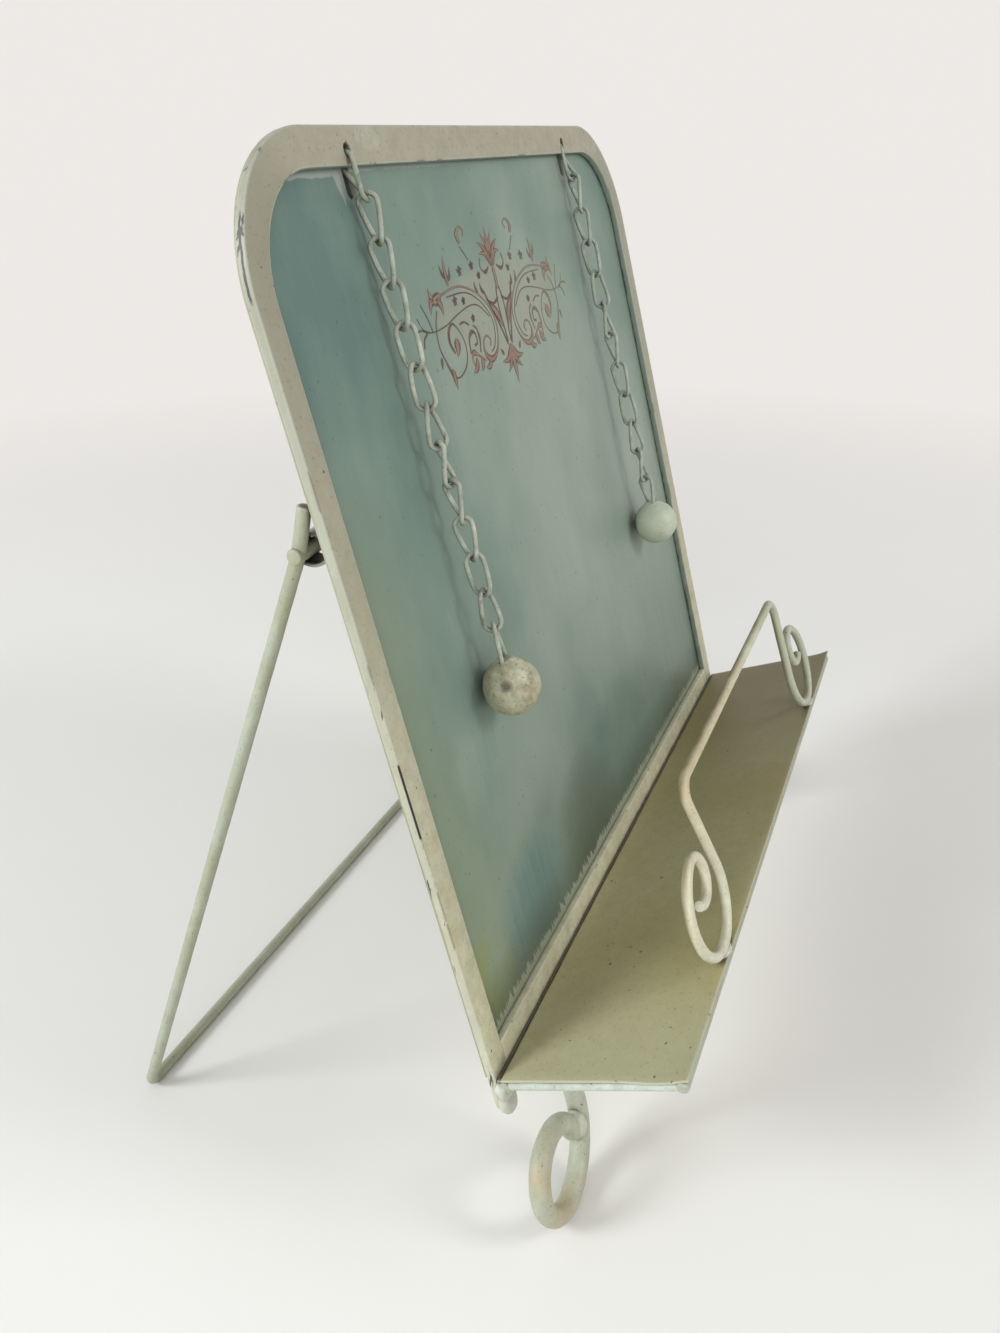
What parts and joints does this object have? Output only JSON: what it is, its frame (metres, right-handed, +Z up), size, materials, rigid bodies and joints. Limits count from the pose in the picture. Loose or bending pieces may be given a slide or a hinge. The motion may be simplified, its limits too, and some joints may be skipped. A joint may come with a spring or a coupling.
{
  "type": "cookbook stand",
  "caption": "Folding iron cookbook stand: a leaning framed board with a shelf, a scrolled wire page holder, scrolled feet, a hinged rear leg and ball-weighted page chains.",
  "frame": {"origin": "on the table, under the middle of the stand's outline", "axes": "+Z up, +X to the right along the board as the reader sees it, +Y to the back"},
  "size_m": [0.343, 0.2236, 0.3588],
  "materials": {
    "cream_paint": "satin, aged",
    "rod_paint": "satin, aged",
    "teal_paint": "brushed on, satin",
    "chain_paint": "satin, worn",
    "ball_paint": "satin, speckled"
  },
  "bodies": {
    "stand": {"frame_bar": "cream_paint", "bottom_rail": "cream_paint", "back_sheet": "teal_paint", "shelf_plate": "cream_paint", "shelf_rear_rod": "rod_paint", "shelf_front_rod": "rod_paint", "shelf_left_rod": "rod_paint", "shelf_right_rod": "rod_paint", "page_holder": "rod_paint", "left_foot": "rod_paint", "right_foot": "rod_paint", "left_pivot_eye": "rod_paint", "right_pivot_eye": "rod_paint"},
    "leg": {"leg_wire": "rod_paint", "pivot_rod": "rod_paint", "left_leg_stop": "rod_paint", "right_leg_stop": "rod_paint"},
    "left_link_1": {"left_link_1": "chain_paint"},
    "left_link_2": {"left_link_2": "chain_paint"},
    "left_link_3": {"left_link_3": "chain_paint"},
    "left_link_4": {"left_link_4": "chain_paint"},
    "left_link_5": {"left_link_5": "chain_paint"},
    "left_link_6": {"left_link_6": "chain_paint"},
    "left_link_7": {"left_link_7": "chain_paint"},
    "left_link_8": {"left_link_8": "chain_paint"},
    "left_link_9": {"left_link_9": "chain_paint"},
    "left_link_10": {"left_link_10": "chain_paint"},
    "left_link_11": {"left_link_11": "chain_paint"},
    "left_link_12": {"left_link_12": "chain_paint"},
    "left_link_13": {"left_link_13": "chain_paint", "left_ball": "ball_paint"},
    "right_link_1": {"right_link_1": "chain_paint"},
    "right_link_2": {"right_link_2": "chain_paint"},
    "right_link_3": {"right_link_3": "chain_paint"},
    "right_link_4": {"right_link_4": "chain_paint"},
    "right_link_5": {"right_link_5": "chain_paint"},
    "right_link_6": {"right_link_6": "chain_paint"},
    "right_link_7": {"right_link_7": "chain_paint"},
    "right_link_8": {"right_link_8": "chain_paint"},
    "right_link_9": {"right_link_9": "chain_paint"},
    "right_link_10": {"right_link_10": "chain_paint"},
    "right_link_11": {"right_link_11": "chain_paint"},
    "right_link_12": {"right_link_12": "chain_paint", "right_ball": "ball_paint"}
  },
  "joints": [
    {"name": "leg_fold", "type": "hinge", "parent": "stand", "child": "leg", "pos_m": [0, 0.0151, 0.2482], "axis": [-1, 0, 0], "range_deg": [0, 37]},
    {"name": "left_link_1_swing", "type": "hinge", "parent": "stand", "child": "left_link_1", "pos_m": [-0.097, 0.02998, 0.34817], "axis": [-1, 0, 0], "range_deg": [0, 25]},
    {"name": "left_link_2_swing", "type": "hinge", "parent": "left_link_1", "child": "left_link_2", "pos_m": [-0.097, 0.02361, 0.33806], "axis": [0, 0.9659, -0.2588], "range_deg": [-6, 6]},
    {"name": "left_link_3_swing", "type": "hinge", "parent": "left_link_2", "child": "left_link_3", "pos_m": [-0.097, 0.02029, 0.3255], "axis": [-1, 0, 0], "range_deg": [0, 25]},
    {"name": "left_link_4_swing", "type": "hinge", "parent": "left_link_3", "child": "left_link_4", "pos_m": [-0.097, 0.01646, 0.31318], "axis": [0, 0.9659, -0.2588], "range_deg": [-6, 6]},
    {"name": "left_link_5_swing", "type": "hinge", "parent": "left_link_4", "child": "left_link_5", "pos_m": [-0.097, 0.01264, 0.30086], "axis": [-1, 0, 0], "range_deg": [0, 25]},
    {"name": "left_link_6_swing", "type": "hinge", "parent": "left_link_5", "child": "left_link_6", "pos_m": [-0.097, 0.00881, 0.28854], "axis": [0, 0.9659, -0.2588], "range_deg": [-6, 6]},
    {"name": "left_link_7_swing", "type": "hinge", "parent": "left_link_6", "child": "left_link_7", "pos_m": [-0.097, 0.00499, 0.27622], "axis": [-1, 0, 0], "range_deg": [0, 25]},
    {"name": "left_link_8_swing", "type": "hinge", "parent": "left_link_7", "child": "left_link_8", "pos_m": [-0.097, 0.00116, 0.2639], "axis": [0, 0.9659, -0.2588], "range_deg": [-6, 6]},
    {"name": "left_link_9_swing", "type": "hinge", "parent": "left_link_8", "child": "left_link_9", "pos_m": [-0.097, -0.00267, 0.25159], "axis": [-1, 0, 0], "range_deg": [0, 25]},
    {"name": "left_link_10_swing", "type": "hinge", "parent": "left_link_9", "child": "left_link_10", "pos_m": [-0.097, -0.00649, 0.23927], "axis": [0, 0.9659, -0.2588], "range_deg": [-6, 6]},
    {"name": "left_link_11_swing", "type": "hinge", "parent": "left_link_10", "child": "left_link_11", "pos_m": [-0.097, -0.01032, 0.22695], "axis": [-1, 0, 0], "range_deg": [0, 25]},
    {"name": "left_link_12_swing", "type": "hinge", "parent": "left_link_11", "child": "left_link_12", "pos_m": [-0.097, -0.01414, 0.21463], "axis": [0, 0.9659, -0.2588], "range_deg": [-6, 6]},
    {"name": "left_link_13_swing", "type": "hinge", "parent": "left_link_12", "child": "left_link_13", "pos_m": [-0.097, -0.01797, 0.20231], "axis": [-1, 0, 0], "range_deg": [0, 25]},
    {"name": "right_link_1_swing", "type": "hinge", "parent": "stand", "child": "right_link_1", "pos_m": [0.097, 0.02998, 0.34817], "axis": [-1, 0, 0], "range_deg": [0, 25]},
    {"name": "right_link_2_swing", "type": "hinge", "parent": "right_link_1", "child": "right_link_2", "pos_m": [0.097, 0.02335, 0.33681], "axis": [0, -0.9659, 0.2588], "range_deg": [-6, 6]},
    {"name": "right_link_3_swing", "type": "hinge", "parent": "right_link_2", "child": "right_link_3", "pos_m": [0.097, 0.01961, 0.32315], "axis": [-1, 0, 0], "range_deg": [0, 25]},
    {"name": "right_link_4_swing", "type": "hinge", "parent": "right_link_3", "child": "right_link_4", "pos_m": [0.097, 0.01542, 0.30969], "axis": [0, -0.9659, 0.2588], "range_deg": [-6, 6]},
    {"name": "right_link_5_swing", "type": "hinge", "parent": "right_link_4", "child": "right_link_5", "pos_m": [0.097, 0.01124, 0.29622], "axis": [-1, 0, 0], "range_deg": [0, 25]},
    {"name": "right_link_6_swing", "type": "hinge", "parent": "right_link_5", "child": "right_link_6", "pos_m": [0.097, 0.00705, 0.28276], "axis": [0, -0.9659, 0.2588], "range_deg": [-6, 6]},
    {"name": "right_link_7_swing", "type": "hinge", "parent": "right_link_6", "child": "right_link_7", "pos_m": [0.097, 0.00287, 0.26929], "axis": [-1, 0, 0], "range_deg": [0, 25]},
    {"name": "right_link_8_swing", "type": "hinge", "parent": "right_link_7", "child": "right_link_8", "pos_m": [0.097, -0.00132, 0.25583], "axis": [0, -0.9659, 0.2588], "range_deg": [-6, 6]},
    {"name": "right_link_9_swing", "type": "hinge", "parent": "right_link_8", "child": "right_link_9", "pos_m": [0.097, -0.0055, 0.24236], "axis": [-1, 0, 0], "range_deg": [0, 25]},
    {"name": "right_link_10_swing", "type": "hinge", "parent": "right_link_9", "child": "right_link_10", "pos_m": [0.097, -0.00969, 0.2289], "axis": [0, -0.9659, 0.2588], "range_deg": [-6, 6]},
    {"name": "right_link_11_swing", "type": "hinge", "parent": "right_link_10", "child": "right_link_11", "pos_m": [0.097, -0.01387, 0.21543], "axis": [-1, 0, 0], "range_deg": [0, 25]},
    {"name": "right_link_12_swing", "type": "hinge", "parent": "right_link_11", "child": "right_link_12", "pos_m": [0.097, -0.01806, 0.20197], "axis": [0, -0.9659, 0.2588], "range_deg": [-6, 6]}
  ]
}
